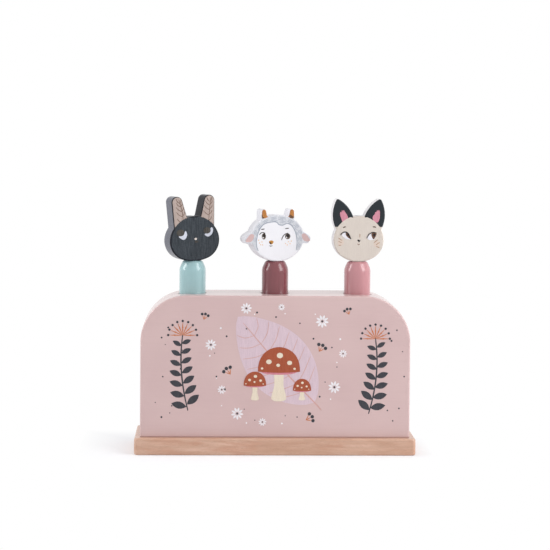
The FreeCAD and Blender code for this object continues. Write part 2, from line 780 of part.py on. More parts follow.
def build_head(animal, step):
    """A flat head sawn from board: a rounded face with a pair of ears."""
    body = new_body(f"{animal}_head")
    face = add_face(body, animal)
    if animal == "cat":
        limbs = [add_pointed_ear(body, face, animal)]
    else:
        limbs = [
            add_tab(body, face, animal, name, *(
                f"Sizes.{animal}_{name}_{size}"
                for size in ("reach", "foot", "lean", "length", "foot_width", "tip_radius")
            ))
            for name in (("ear", "horn") if animal == "lamb" else ("ear",))
        ]
    other_side = body.newObject("PartDesign::Mirrored", f"{animal}_other_side")
    other_side.Originals = limbs
    other_side.MirrorPlane = (face, ["V_Axis"])
    body.Tip = other_side
    half_thickness = SIZES["head_thickness"] / 2
    dress(
        body, "Fillet", f"{animal}_head_crotches",
        lambda e: runs_along(e, "Y") and is_corner(body.Tip.Shape, e),
        "Sizes.head_crotch_radius",
    )
    dress(
        body, "Fillet", f"{animal}_head_edges",
        lambda e: flat_in(e, "Y", half_thickness) or flat_in(e, "Y", -half_thickness),
        "Sizes.head_edge_radius",
    )

    under = new_sketch(body, "XZ_Plane", f"{animal}_neck_flat_outline")
    half_face = f"Sizes.{animal}_face_width / 2"
    add_rectangle(under, f"-{half_face}", half_face, "-2 * Sizes.neck_flat_sink", "0")
    pocket(body, under, f"{animal}_neck_flat", "2 * Sizes.head_thickness", symmetric=True)
    hole = new_sketch(body, "XY_Plane", f"{animal}_head_pin_mark")
    add_circle(hole, "0", "0", "Sizes.pin_diameter + 2 * Sizes.glue_gap")
    depth = "Sizes.pin_length - Sizes.pin_depth_in_peg + Sizes.glue_gap"
    pocket(body, hole, f"{animal}_head_pin_hole", depth, backwards=True)
    stand(body, f"{step} * Sizes.bore_spacing", up=PEG_TOP_HEIGHT, turn=f"Sizes.{animal}_turn")
    return body


# ---------------------------------------------------------------- the whole toy


def build_all():
    sub_parts = [
        build_base_board(),
        build_block_half("block_front_half", backwards=False),
        build_block_half("block_back_half", backwards=True),
        build_block_dowels(),
        build_base_screws(),
    ]
    for place, animal, step in FIGURES:
        sub_parts += [
            build_spring_plug(place, step),
            build_spring(place, step),
            build_spring_cap(place, step),
            build_peg(animal, step),
            build_neck_pin(animal, step),
            build_head(animal, step),
        ]
    return sub_parts


def check(sub_parts):
    """Stops with a message if any object failed or a sub-part has no valid solid."""
    failed = [t.Label for t in doc.Objects if "Invalid" in t.State or "Error" in t.State]
    if failed:
        raise RuntimeError(f"these objects failed: {failed}")
    for sub_part in sub_parts:
        shape = sub_part.Shape
        if shape.isNull() or not shape.isValid() or not shape.Solids:
            raise RuntimeError(f"{sub_part.Label} has no valid solid")


def write(sub_parts):
    os.makedirs(PARTS_FOLDER, exist_ok=True)
    for sub_part in sub_parts:
        shape = sub_part.Shape
        shape.exportStep(os.path.join(PARTS_FOLDER, f"{sub_part.Label}.step"))
        box = shape.BoundBox
        print(
            f"{sub_part.Label}: {len(shape.Solids)} solid, volume {shape.Volume:.1f},"
            f" z {box.ZMin:.2f} to {box.ZMax:.2f}"
        )


toy = build_all()
doc.recompute()
check(toy)
write(toy)
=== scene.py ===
"""A wooden pop-up toy, dressed piece by piece in the order in which it is put together."""

import json
import math
from functools import partial, partialmethod

import bmesh
import bpy
from mathutils import Matrix, Vector
from mathutils.geometry import delaunay_2d_cdt


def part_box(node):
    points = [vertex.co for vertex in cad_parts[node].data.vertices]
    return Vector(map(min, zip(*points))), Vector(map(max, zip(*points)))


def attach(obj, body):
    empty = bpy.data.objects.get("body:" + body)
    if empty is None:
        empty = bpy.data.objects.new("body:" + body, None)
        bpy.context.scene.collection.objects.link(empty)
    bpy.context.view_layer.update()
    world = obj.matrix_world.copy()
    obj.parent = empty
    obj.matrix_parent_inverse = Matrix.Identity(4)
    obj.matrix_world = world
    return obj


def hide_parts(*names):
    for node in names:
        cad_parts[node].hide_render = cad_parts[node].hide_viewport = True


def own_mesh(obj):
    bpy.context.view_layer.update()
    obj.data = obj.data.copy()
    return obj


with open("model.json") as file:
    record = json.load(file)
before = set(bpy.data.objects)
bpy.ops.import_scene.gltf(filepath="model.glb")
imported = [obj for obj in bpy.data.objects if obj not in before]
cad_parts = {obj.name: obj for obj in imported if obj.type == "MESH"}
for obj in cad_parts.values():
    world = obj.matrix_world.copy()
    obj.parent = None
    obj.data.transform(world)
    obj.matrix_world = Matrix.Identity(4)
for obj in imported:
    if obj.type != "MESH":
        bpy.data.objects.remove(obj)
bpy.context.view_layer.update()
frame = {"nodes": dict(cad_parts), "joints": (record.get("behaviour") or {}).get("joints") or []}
MM = 0.001  # a millimetre in the scene's metres


# -------------------------------- foot board
# The foot board is a strip of plain-sawn beech, rounded over at its corners and edges
# and sealed with a clear satin lacquer.  Its grain runs along it, so the ends show the
# rings.  Three round sockets in its top take the spring plugs.


class Signal:
    """A socket of a node tree that plain arithmetic can be written on."""

    def __init__(self, graph, socket):
        self.graph, self.socket = graph, socket

    def maths(self, operation, *others):
        inputs = dict(enumerate((self, *others)))
        return self.graph.node("ShaderNodeMath", {"operation": operation}, inputs)

    __add__ = __radd__ = partialmethod(maths, "ADD")
    __sub__ = partialmethod(maths, "SUBTRACT")
    __mul__ = __rmul__ = partialmethod(maths, "MULTIPLY")
    __truediv__ = partialmethod(maths, "DIVIDE")
    __pow__ = partialmethod(maths, "POWER")
    sine = partialmethod(maths, "SINE")
    cosine = partialmethod(maths, "COSINE")
    size = partialmethod(maths, "ABSOLUTE")
    most = partialmethod(maths, "MAXIMUM")
    least = partialmethod(maths, "MINIMUM")

    def __rsub__(self, other):
        return self.graph.node("ShaderNodeMath", {"operation": "SUBTRACT"}, {0: other, 1: self})

    def rise(self, low, high):
        """0 up to low, 1 from high on, and a straight rise between them."""
        inputs = {"Value": self, "From Min": low, "From Max": high}
        return self.graph.node("ShaderNodeMapRange", {"clamp": True}, inputs)


class Graph:
    """A node tree that is built by writing expressions on its signals."""

    def __init__(self, tree):
        self.tree = tree

    def node(self, kind, settings, inputs, out=0):
        """Adds a node, makes its settings, feeds its sockets and gives one output."""
        node = self.tree.nodes.new(kind)
        for name, value in settings.items():
            setattr(node, name, value)
        for name, value in inputs.items():
            self.feed(node.inputs[name], value)
        return Signal(self, node.outputs[out])

    def feed(self, socket, value):
        if isinstance(value, Signal):
            self.tree.links.new(value.socket, socket)
        else:
            socket.default_value = value

    def point(self, x, y, z):
        return self.node("ShaderNodeCombineXYZ", {}, {0: x, 1: y, 2: z})

    def split(self, point):
        """The three parts of a point: across, back and up."""
        return [self.node("ShaderNodeSeparateXYZ", {}, {0: point}, out=n) for n in range(3)]

    def here(self):
        """The place of each point of a geometry: across, back and up."""
        return self.split(self.node("GeometryNodeInputPosition", {}, {}))

    def put(self, geometry, x, y, z):
        """The geometry with its points put in the place across, back and up."""
        inputs = {"Geometry": geometry, "Position": self.point(x, y, z)}
        return self.node("GeometryNodeSetPosition", {}, inputs)


class Finish(Graph):
    """A surface finish: a material with one shader that the graph feeds."""

    def __init__(self, name, **sockets):
        self.material = bpy.data.materials.new(name)
        self.material.use_nodes = True
        super().__init__(self.material.node_tree)
        self.shader = self.tree.nodes["Principled BSDF"]
        for socket, value in sockets.items():
            self.shader.inputs[socket.replace("_", " ")].default_value = value

    def show(self, colour, roughness, bump, depth):
        """The material with what varies over the surface; the bump's depth is in metres."""
        normal = self.node("ShaderNodeBump", {}, {"Distance": depth, "Height": bump})
        for name, value in (("Base Color", colour), ("Roughness", roughness), ("Normal", normal)):
            self.feed(self.shader.inputs[name], value)
        return self.material

    def axes(self, anchor=(0.0, 0.0, 0.0), turn=0.0, lean=0.0):
        """The place on the piece in millimetres: across, back and up from an anchor."""
        place = self.node("ShaderNodeTexCoord", {}, {}, out="Object")
        return self.split(self.node("ShaderNodeMapping", {"vector_type": "TEXTURE"}, {
            "Vector": place, "Location": anchor, "Scale": (MM, MM, MM),
            "Rotation": (0.0, -math.radians(lean), math.radians(turn)),
        }))

    def noise(self, x, y, z, scale=1.0, detail=2.0):
        """Soft cloudy noise from 0 to 1."""
        inputs = {"Vector": self.point(x, y, z), "Scale": scale, "Detail": detail}
        return self.node("ShaderNodeTexNoise", {}, inputs)

    def mix(self, share, first, second):
        """A colour between two colours, by a share from 0 to 1."""
        inputs = {"Factor": share, 6: first, 7: second}
        return self.node("ShaderNodeMix", {"data_type": "RGBA"}, inputs, out=2)


def colour(red, green, blue, deep=1.0):
    """A paint colour from a chart, 0 to 255, in linear light; deepened by a share below 1."""
    shares = (part * deep / 255 for part in (red, green, blue))
    return (*(s / 12.92 if s <= 0.04045 else ((s + 0.055) / 1.055) ** 2.4 for s in shares), 1.0)


HEART = (46.0, -96.0)  # where the tree's heart lies, across and above, in millimetres
RING_WAVE = 1.9  # radians of a year ring's wave per millimetre out from the heart


def beech(name, grain, pale, dark, roughness, lacquer=0.0):
    """Beech with soft bands of tone, faint rings and the short flecks of its rays.

    The grain is the axis that it runs along.  Where the wood is flushed it is redder.
    """
    finish = Finish(name, Specular_IOR_Level=0.4, Coat_Weight=lacquer, Coat_Roughness=0.2)
    x, y, z = finish.axes()
    along, side, depth = {"X": (x, y, z), "Y": (y, x, z), "Z": (z, x, y)}[grain]
    tone = finish.noise(along * 0.022, side * 0.2, depth * 0.2, scale=1.6, detail=3.0)
    flush = finish.noise(along * 0.05, side * 0.32, depth * 0.32, detail=3.0).rise(0.48, 0.66)
    radius = ((side - HEART[0]) ** 2 + (depth - HEART[1]) ** 2) ** 0.5
    ring = (radius * RING_WAVE + tone * 4.0).sine() * 0.5 + 0.5
    flecks = finish.noise(along * 0.5, side * 3.6, depth * 3.6, detail=1.0).rise(0.6, 0.72)
    fibre = finish.noise(along * 0.1, side * 7.0, depth * 7.0, detail=3.0)
    warm = finish.mix(tone.rise(0.3, 0.7), colour(*dark), colour(*pale))
    red, green, blue = dark
    flushed = finish.mix(flush * 0.6, warm, colour(red, green * 0.94, blue * 0.92))
    ringed = finish.mix(ring ** 3.0 * 0.16, flushed, colour(*dark, deep=0.86))
    flecked = finish.mix(flecks * 0.32, ringed, colour(*dark, deep=0.8))
    return finish.show(
        finish.mix(fibre.rise(0.35, 0.7) * 0.3, flecked, colour(*dark, deep=0.93)),
        roughness + flecks * 0.12 + fibre * 0.06,
        fibre * 0.4 - flecks, depth=0.04 * MM,
    )


def coat(node, material):
    """Gives a carried-over piece its finish."""
    slots = frame["nodes"][node].data.materials
    slots.clear()
    slots.append(material)


coat("base_board", beech(
    "lacquered_beech", "X", (220, 182, 160), (197, 154, 129), 0.42, lacquer=0.6
))


# -------------------------------- base screws
# Four countersunk steel screws hold the board under the block.  They are zinc plated,
# driven up from below, and their cross-slotted heads sit just under the board's face.


def metal(name, tint, roughness, streak):
    """Plated or drawn steel whose sheen varies in fine streaks."""
    finish = Finish(name, Metallic=1.0)
    x, y, z = finish.axes()
    cloud = finish.noise(x, y, z, scale=0.9, detail=3.0)
    fine = finish.noise(x * streak, y * streak, z, scale=3.0)
    return finish.show(
        finish.mix(cloud.rise(0.35, 0.65), colour(*tint, deep=0.8), colour(*tint)),
        roughness + fine * 0.12, fine, depth=0.01 * MM,
    )


coat("base_screws", metal("zinc_plate", (196, 190, 172), 0.3, 4.0))


# -------------------------------- spring plugs
# A turned plug of raw beech is glued into each socket of the board.  The end coil of
# the spring sits round it, so the spring can't wander in its bore.

raw_beech = beech("raw_beech", "Z", (214, 182, 148), (192, 154, 118), 0.62)
for side in ("left", "middle", "right"):
    coat(f"{side}_spring_plug", raw_beech)


# -------------------------------- dowels
# Six beech dowels line the two halves of the block up while the glue sets.
# They lie across the joint and never show once the block is closed.

coat("block_dowels", beech("dowel_beech", "Y", (214, 182, 148), (190, 152, 116), 0.6))


# -------------------------------- block
# The block is two shaped halves of beech glued face to face.  It is sprayed all over
# and in its bores with a satin water-based paint in dusty rose, which fills the grain
# but leaves the glue line as a hairline on top and at the ends.

block_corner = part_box("block_front_half")[0]  # its front lower left corner
BOARD_TOP = block_corner.z / MM


def rose_paint():
    """Satin paint that is darker in the glue line, with painted shade where it meets the board.
    """
    finish = Finish(
        "rose_satin_paint", Coat_Weight=0.75, Coat_Roughness=0.14, Specular_IOR_Level=0.4
    )
    x, y, z = finish.axes()
    cloud = finish.noise(x * 0.02, y * 0.05, z * 0.03)
    grain = finish.noise(x * 0.05, y * 1.4, z * 1.4)
    spray = finish.noise(x, y, z, scale=1.5, detail=1.0)
    sprayed = finish.mix(cloud.rise(0.3, 0.7), colour(205, 175, 174), colour(211, 182, 180))
    grained = finish.mix(grain.rise(0.45, 0.75) * 0.12, sprayed, colour(194, 162, 160))
    glue_line = 1.0 - y.size().rise(0.05, 0.22)
    # Painted shade: the paint darkens toward the board, in the crevice where the block stands on
    # it.
    foot = 1.0 - z.rise(BOARD_TOP + 0.1, BOARD_TOP + 0.9)
    glue_line_and_painted_shade = (glue_line * 0.35).most(foot * 0.85)
    return finish.show(
        finish.mix(glue_line_and_painted_shade, grained, colour(132, 94, 86)),
        0.4 + spray * 0.1 + glue_line * 0.1,
        spray * 0.5 + grain * 0.6 - glue_line, depth=0.03 * MM,
    )


block_paint = rose_paint()
for half in ("front", "back"):
    coat(f"block_{half}_half", block_paint)


# -------------------------------- printed front
# The front of the block carries a woodland pattern in screen-printed ink: toadstools on
# a pale leaf, a leafy sprig at either end, and daisies, berries and dots between them.
# Each colour is a layer of ink a few hundredths of a millimetre thick.

INK = 0.04  # millimetres that each layer of ink adds
SAME_PLACE = 1e-5  # millimetres; points of an outline that are closer count as one


def ink(name, tint, depth=0.07):
    """Matt printing ink that lets a little of the wood's grain through, by a depth."""
    finish = Finish(name, Specular_IOR_Level=0.2)
    x, y, z = finish.axes()
    grain = finish.noise(x * 2.2, y * 0.4, z * 0.16, detail=3.0)
    speck = finish.noise(x, y, z, scale=2.6)
    pale = [part + (255 - part) * depth for part in tint]
    share = grain.rise(0.3, 0.7) * 0.6 + speck.rise(0.35, 0.65) * 0.4
    return finish.show(
        finish.mix(share, colour(*tint, deep=1 - depth), colour(*pale)),
        0.5 + speck * 0.12, speck + grain, depth=0.02 * MM,
    )


def face_plane(anchor, turn=0.0, lean=0.0):
    """Carries millimetres across, out and up from an anchor on a face to the toy."""
    around, aside = math.radians(turn), -math.radians(lean)
    turned = Matrix.Rotation(around, 4, "Z") @ Matrix.Rotation(aside, 4, "Y")
    return Matrix.Translation(anchor) @ turned @ Matrix.Diagonal((MM, -MM, MM, 1))


def linked(name, data):
    """A new object in the scene that shows the data, at the origin."""
    piece = bpy.data.objects.new(name, data)
    bpy.context.collection.objects.link(piece)
    return piece


def turn_left(shape):
    """The outline with its points in the order that turns left, its inside on the left."""
    ahead = shape[1:] + shape[:1]
    area = sum(x * next_up - next_x * up for (x, up), (next_x, next_up) in zip(shape, ahead))
    return shape if area > 0 else shape[::-1]


def printed(face, plane, depth, body, name, shapes, layer, material):
    """One layer of ink, which covers the outlines and runs together where they meet.

    The plane and its depth lie on the face; layers with a higher number lie on top.
    """
    shapes = [turn_left(shape) for shape in shapes]
    drops = [Vector(point) for shape in shapes for point in shape]
    starts = [sum(map(len, shapes[:n])) for n in range(len(shapes))]
    loops = [list(range(start, start + len(shape))) for start, shape in zip(starts, shapes)]
    places, _, patches, _, _, owners = delaunay_2d_cdt(drops, [], loops, 0, SAME_PLACE)
    mesh = bmesh.new()
    under, over = [
        [mesh.verts.new(plane @ Vector((across, out, up))) for across, up in places]
        for out in (depth - INK, depth + INK * layer)
    ]
    rim = {}
    for patch, owner in zip(patches, owners):
        if owner:
            mesh.faces.new([over[n] for n in patch])
            mesh.faces.new([under[n] for n in reversed(patch)])
            for a, b in zip(patch, patch[1:] + patch[:1]):
                rim[frozenset((a, b))] = None if frozenset((a, b)) in rim else (a, b)
    for a, b in filter(None, rim.values()):
        mesh.faces.new((over[b], over[a], under[a], under[b]))
    bmesh.ops.delete(mesh, geom=[v for v in mesh.verts if not v.link_faces], context="VERTS")
    bmesh.ops.recalc_face_normals(mesh, faces=mesh.faces)
    data = bpy.data.meshes.new(f"{face}_{name}")
    mesh.to_mesh(data)
    mesh.free()
    data.materials.append(material)
    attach(linked(data.name, data), body)


def smooth(points, closed=False, steps=5):
    """A curve that runs through every point, as a list of points along it."""
    count, curve = len(points), []
    for n in range(count if closed else count - 1):
        knots = [
            points[(n + k) % count if closed else min(max(n + k, 0), count - 1)]
            for k in (-1, 0, 1, 2)
        ]
        for step in range(steps):
            t = step / steps
            weights = (
                -0.5 * t + t * t - 0.5 * t ** 3, 1 - 2.5 * t * t + 1.5 * t ** 3,
                0.5 * t + 2 * t * t - 1.5 * t ** 3, -0.5 * t * t + 0.5 * t ** 3,
            )
            curve.append(tuple(
                sum(w * knot[axis] for w, knot in zip(weights, knots)) for axis in (0, 1)
            ))
    return curve if closed else curve + [points[-1]]


def blob(*points):
    """A round-edged shape through the points."""
    return smooth(points, closed=True)


def stroke(points, width, taper=0.35):
    """A brush stroke through the points, narrower at both ends."""
    path = [Vector(p) for p in smooth(points)]
    left, right = [], []
    for n, point in enumerate(path):
        run = (path[min(n + 1, len(path) - 1)] - path[max(n - 1, 0)]).normalized()
        along = n / (len(path) - 1)
        half = width / 2 * (taper + (1 - taper) * math.sin(math.pi * along) ** 0.5)
        off = Vector((-run.y, run.x)) * half
        left.append(tuple(point + off))
        right.append(tuple(point - off))
    return left + right[::-1]


def disc(across, up, width, height=None, steps=36):
    """A round or oval spot."""
    high = (height or width) / 2
    turns = [2 * math.pi * n / steps for n in range(steps)]
    return [(across + width / 2 * math.cos(t), up + high * math.sin(t)) for t in turns]


# From the joint between the halves, where the board's top meets it, out to the front.
front_print = partial(
    printed, "front", face_plane((0.0, 0.0, block_corner.z)), -block_corner.y / MM, "case"
)
CHARCOAL = ink("charcoal_ink", (60, 60, 66))
RUST = ink("rust_ink", (168, 82, 54))
ORANGE = ink("orange_ink", (202, 118, 70))
CREAM = ink("cream_ink", (238, 224, 202))
WHITE = ink("white_ink", (243, 238, 242))
LILAC = ink("lilac_ink", (221, 197, 207))
BLUSH = ink("blush_ink", (212, 132, 146))

# The big leaf: its stalk end, its tip, the bulge of its two edges, and its ribs, whose
# feet stand along the blade by shares of its length.
STALK, TIP = Vector((28.0, 25.0)), Vector((-27.0, 86.0))
BULGE = 23.0
RIBS, RIB_START, RIB_STEP = 8, 0.04, 0.093
blade = TIP - STALK
out = Vector((-blade.y, blade.x)).normalized()


def on_leaf(along, aside):
    """A point of the big leaf, by its shares of the length and of the bulge."""
    width = BULGE * math.sin(math.pi * along ** 0.9) ** 0.75
    return tuple(STALK + blade * along + out * width * aside)


edge = [n / 28 for n in range(29)]
front_print("leaf", [
    [on_leaf(n, 1) for n in edge] + [on_leaf(n, -1) for n in edge[-2:0:-1]]
], 1, LILAC)
midrib = [tuple(STALK - blade * 0.09), tuple(STALK), on_leaf(0.4, 0.05), on_leaf(0.93, 0)]
ribs = [stroke(midrib, 0.9, 0.3)]
for n in range(1, RIBS + 1):
    foot = RIB_START + n * RIB_STEP
    for way in (1, -1):
        ribs.append(stroke([
            on_leaf(foot, 0), on_leaf(foot + 0.035, way * 0.45), on_leaf(foot + 0.1, way * 0.93),
        ], 0.45, 0.4))
front_print("leaf_ribs", ribs, 2, ink("rib_ink", (214, 166, 158)))

# Toadstools: across, width of cap, height of cap's rim, height of cap.
TOADSTOOLS = ((2.5, 30.0, 47.0, 17.5), (-14.5, 16.0, 37.0, 10.0), (19.0, 13.0, 33.5, 8.5))
GROUND = 27.0  # where their stems stand
stems, gills, caps, spots = [], [], [], []
for across, width, rim, tall in TOADSTOOLS:
    thick = width * 0.11
    stems.append(blob(
        (across - thick * 1.5, GROUND), (across - thick, GROUND + (rim - GROUND) * 0.5),
        (across - thick * 0.9, rim + 1), (across + thick * 0.9, rim + 1),
        (across + thick, GROUND + (rim - GROUND) * 0.5), (across + thick * 1.5, GROUND),
    ))
    gills.append(disc(across, rim, width * 0.86, tall * 0.26))
    caps.append(
        [(across + width / 2 * math.cos(t), rim + tall * math.sin(t) ** 0.85)
         for t in (math.pi * n / 24 for n in range(25))]
        + [(across + width / 2 * x, rim - tall * 0.05 * (1 - x * x)) for x in (-0.5, 0, 0.5)]
    )
    spots += [
        disc(across + width * x, rim + tall * y, width * d, width * d * 0.86, 20)
        for x, y, d in ((-0.24, 0.4, 0.13), (0.02, 0.66, 0.15), (0.25, 0.36, 0.12),
                        (-0.02, 0.26, 0.09), (0.37, 0.12, 0.06), (-0.4, 0.13, 0.06))
    ]
front_print("stems", stems, 3, CREAM)
front_print("gills", gills, 4, BLUSH)
front_print("caps", caps, 5, RUST)
front_print("cap_spots", spots, 6, CREAM)


def grower(name, **sizes):
    """An empty geometry tree: it takes places and named sizes, which come as signals."""
    tree = bpy.data.node_groups.new(name, "GeometryNodeTree")
    tree.interface.new_socket("Geometry", in_out="OUTPUT", socket_type="NodeSocketGeometry")
    tree.interface.new_socket("Places", in_out="INPUT", socket_type="NodeSocketGeometry")
    tree.interface.new_socket("Finish", in_out="INPUT", socket_type="NodeSocketMaterial")
    for label, value in sizes.items():
        kind = {float: "Float", int: "Int", tuple: "Vector"}[type(value)]
        socket = tree.interface.new_socket(
            label.replace("_", " "), in_out="INPUT", socket_type=f"NodeSocket{kind}"
        )
        socket.default_value = value
    graph, entry = Graph(tree), tree.nodes.new("NodeGroupInput")
    labels = ("Places", "Finish", *sizes)
    return graph, *(Signal(graph, entry.outputs[label.replace("_", " ")]) for label in labels)


def close(graph, geometry, finish):
    """Ends a geometry tree: its copies are made real and given their material."""
    real = graph.node("GeometryNodeRealizeInstances", {}, {"Geometry": geometry})
    painted = graph.node("GeometryNodeSetMaterial", {}, {"Geometry": real, "Material": finish})
    leave = graph.tree.nodes.new("NodeGroupOutput")
    graph.tree.links.new(painted.socket, leave.inputs[0])
    return graph.tree


def grown(name, tree, body, places=(), **sizes):
    """A plain mesh that a geometry tree makes, riding on a body.

    Each place is a point in metres with a lean in radians and a scale.
    """
    seeds = bpy.data.meshes.new(name)
    seeds.from_pydata([place[0] for place in places], [], [])
    for n, label in enumerate(("lean", "scale"), start=1):
        values = seeds.attributes.new(label, "FLOAT", "POINT").data
        values.foreach_set("value", [place[n] for place in places])
    piece = linked(name, seeds)
    modifier = piece.modifiers.new("grow", "NODES")
    modifier.node_group = tree
    for item in tree.interface.items_tree:
        if item.name.replace(" ", "_") in sizes:
            modifier[item.identifier] = sizes[item.name.replace(" ", "_")]
    ready = piece.evaluated_get(bpy.context.evaluated_depsgraph_get())
    made = bpy.data.meshes.new_from_object(ready)
    piece.modifiers.clear()
    piece.data = made
    for label in {"lean", "scale"} & set(made.attributes.keys()):
        made.attributes.remove(made.attributes[label])
    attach(piece, body)
    return piece


def slips(name, pointed):
    """Slips of ink, leaf-shaped or oval, that fan out round every place."""
    graph, places, finish, length, width, start, count, opening, thick = grower(
        name, Length=0.003, Width=0.0008, Start=0.0, Count=1, Opening=0.0, Thickness=0.00008
    )
    plug = graph.node(
        "GeometryNodeMeshCylinder", {}, {"Vertices": 16, "Radius": 1.0, "Depth": thick}
    )
    side, along, level = graph.here()
    aside = side * side.size() if pointed else side
    flat = graph.put(plug, aside * width / 2, start + length * (along * 0.5 + 0.5), level)
    ring = graph.node("GeometryNodeMeshLine", {}, {"Count": count, "Offset": (0.0, 0.0, 0.0)})
    number = graph.node("GeometryNodeInputIndex", {}, {})
    fanned = graph.node("GeometryNodeInstanceOnPoints", {}, {
        "Points": ring, "Instance": flat,
        "Rotation": graph.point(0.0, 0.0, opening * ((number + 0.5) / count - 0.5)),
    })
    lean, scale = [
        graph.node("GeometryNodeInputNamedAttribute", {"data_type": "FLOAT"}, {"Name": label})
        for label in ("lean", "scale")
    ]
    stood = graph.node("GeometryNodeInstanceOnPoints", {}, {
        "Points": places, "Instance": fanned, "Scale": graph.point(scale, scale, 1.0),
        "Rotation": graph.point(math.pi / 2, lean, 0.0),
    })
    return close(graph, stood, finish)


pointed_slips = slips("pointed_slips", pointed=True)
oval_slips = slips("oval_slips", pointed=False)


def spot(across, up, lean=0.0, scale=1.0):
    """A place on the front of the block, from millimetres and degrees."""
    place = (across * MM, block_corner.y, block_corner.z + up * MM)
    return place, math.radians(lean), scale


def bent(foot, bend, top, share):
    """A point of a bent stem, by its share of the length."""
    return foot.lerp(bend, share).lerp(bend.lerp(top, share), share)


# Sprigs: foot, bend and top of the stem.  Pairs of leaves get smaller toward the top,
# and a head of seeds on thin rays opens above them.
SPRIGS = (
    ((-62.0, 19.0), (-69.5, 48.0), (-66.0, 73.0)), ((66.5, 17.0), (75.0, 45.0), (71.0, 71.0)),
)
PAIRS, LEAF_LEAN = 7, 64  # the lean of a leaf from its stem, in degrees
twigs, leaves, heads = [], [], []
for foot, bend, top in (tuple(map(Vector, points)) for points in SPRIGS):
    twigs.append(stroke([tuple(bent(foot, bend, top, n / 6)) for n in range(7)], 1.0, 0.6))
    for pair in range(PAIRS):
        share = 0.06 + 0.8 * pair / (PAIRS - 1)
        point = bent(foot, bend, top, share)
        run = (bend - foot).lerp(top - bend, share)
        stem_lean = math.degrees(math.atan2(run.x, run.y))
        leaves += [
            spot(point.x, point.y + way * 0.8, stem_lean + way * LEAF_LEAN, 1.15 - 0.5 * share)
            for way in (1, -1)
        ]
    heads.append(spot(top.x, top.y - 0.4))
front_print("twigs", twigs, 2, CHARCOAL)

# Daisies: across, up, turn and scale.
DAISIES = [spot(*place) for place in (
    (-21.0, 92.0, 5.0, 0.95), (33.0, 83.0, 20.0, 1.1), (-46.0, 66.0, 12.0, 0.95),
    (-38.0, 34.0, 0.0, 0.75), (-27.0, 17.0, 17.0, 1.05), (42.0, 36.0, 9.0, 1.05),
    (-9.0, 11.0, 3.0, 0.7), (48.0, 60.0, 14.0, 0.7), (4.0, 93.0, 11.0, 0.6),
)]

# Berries in threes on a short twig: across, up, turn and scale.
BERRIES = [spot(*place) for place in (
    (31.0, 61.5, 30.0, 1.0), (-32.0, 45.0, -35.0, 1.0), (22.0, 12.5, 62.0, 1.0),
    (-51.0, 84.0, 15.0, 0.8), (52.0, 88.0, -20.0, 0.8),
)]

RAY = 9.8  # the length of a seed head's rays, in millimetres

# Slips of ink: name, shape, places and ink; where a slip starts, its length, width and
# thickness in millimetres; how many fan out from a place, and over how many degrees.
for label, tree, places, tint, start, length, width, thick, count, opening in (
    ("leaves", pointed_slips, leaves, CHARCOAL, 0.2, 9.8, 4.6, 0.08, 1, 0),
    ("rays", pointed_slips, heads, ORANGE, 0.0, RAY, 0.7, 0.12, 9, 200),
    ("seeds", oval_slips, heads, CHARCOAL, RAY - 0.4, 1.7, 1.7, 0.16, 9, 200),
    ("seed_tips", oval_slips, heads, ORANGE, RAY * 0.52, 1.1, 1.1, 0.16, 9, 200),
    ("daisies", pointed_slips, DAISIES, WHITE, 0.9, 3.4, 1.5, 0.08, 9, 360),
    ("daisy_eyes", oval_slips, DAISIES, CHARCOAL, -0.7, 1.4, 1.4, 0.08, 1, 0),
    ("berry_twigs", pointed_slips, BERRIES, ORANGE, -0.4, 4.6, 0.6, 0.08, 3, 100),
    ("berries", oval_slips, BERRIES, CHARCOAL, 3.8, 2.5, 2.5, 0.12, 3, 100),
):
    grown(f"front_{label}", tree, "case", places, Finish=tint, Start=start * MM,
          Length=length * MM, Width=width * MM, Thickness=thick * MM, Count=count,
          Opening=math.radians(opening))


def dot_ring(name):
    """Dots of ink strewn along an oval ring round a centre."""
    graph, _, finish, centre, width, height, stray, size, thick, count, seed = grower(
        name, Centre=(0.0, 0.0, 0.0), Width=0.1, Height=0.1, Stray=0.0045, Size=0.0012,
        Thickness=0.00008, Count=20, Seed=1,
    )
    ring = graph.node("GeometryNodeMeshCircle", {}, {"Vertices": count, "Radius": 1.0})
    x, y, _ = graph.here()
    aside, above = [
        graph.node("FunctionNodeRandomValue", {"data_type": "FLOAT"},
                   {"Min": -1.0, "Max": 1.0, "Seed": seed + add}, out=1) * stray
        for add in (0, 7)
    ]
    strewn = graph.put(ring, x * width / 2 + aside, 0.0, y * height / 2 + above)
    dot = graph.node(
        "GeometryNodeMeshCylinder", {}, {"Vertices": 14, "Radius": size / 2, "Depth": thick}
    )
    facing = graph.node(
        "GeometryNodeTransform", {}, {"Geometry": dot, "Rotation": (math.pi / 2, 0.0, 0.0)}
    )
    swell = graph.node("FunctionNodeRandomValue", {"data_type": "FLOAT"},
                       {"Min": 0.6, "Max": 1.25, "Seed": seed + 3}, out=1)
    sown = graph.node("GeometryNodeInstanceOnPoints", {}, {
        "Points": strewn, "Instance": facing, "Scale": graph.point(swell, 1.0, swell),
    })
    placed = graph.node("GeometryNodeTransform", {}, {"Geometry": sown, "Translation": centre})
    return close(graph, placed, finish)


strewn_dots = dot_ring("strewn_dots")

# Rings of dots: name, ink, centre, width and height in millimetres, number and seed.
for label, tint, (across, up), wide, tall, count, seed in (
    ("dark", CHARCOAL, (0.0, 50.0), 82.0, 72.0, 17, 21),
    ("pale", WHITE, (0.0, 50.0), 94.0, 84.0, 13, 30),
    ("left", CHARCOAL, (-76.0, 45.0), 16.0, 62.0, 10, 62),
    ("right", CHARCOAL, (82.0, 44.0), 12.0, 60.0, 9, 53),
):
    grown(f"front_{label}_dots", strewn_dots, "case", Finish=tint, Centre=spot(across, up)[0],
          Width=wide * MM, Height=tall * MM, Count=count, Seed=seed)


# -------------------------------- springs
# Each bore holds a compression spring of 1 mm drawn steel wire.  Its end turns are
# closed and ground flat, so it stands square on the board and carries its cap level.

CAP_DISC = 0.002  # how thick a cap's disc is above the coil, in metres
COIL_STEPS, WIRE_SIDES = 620, 12


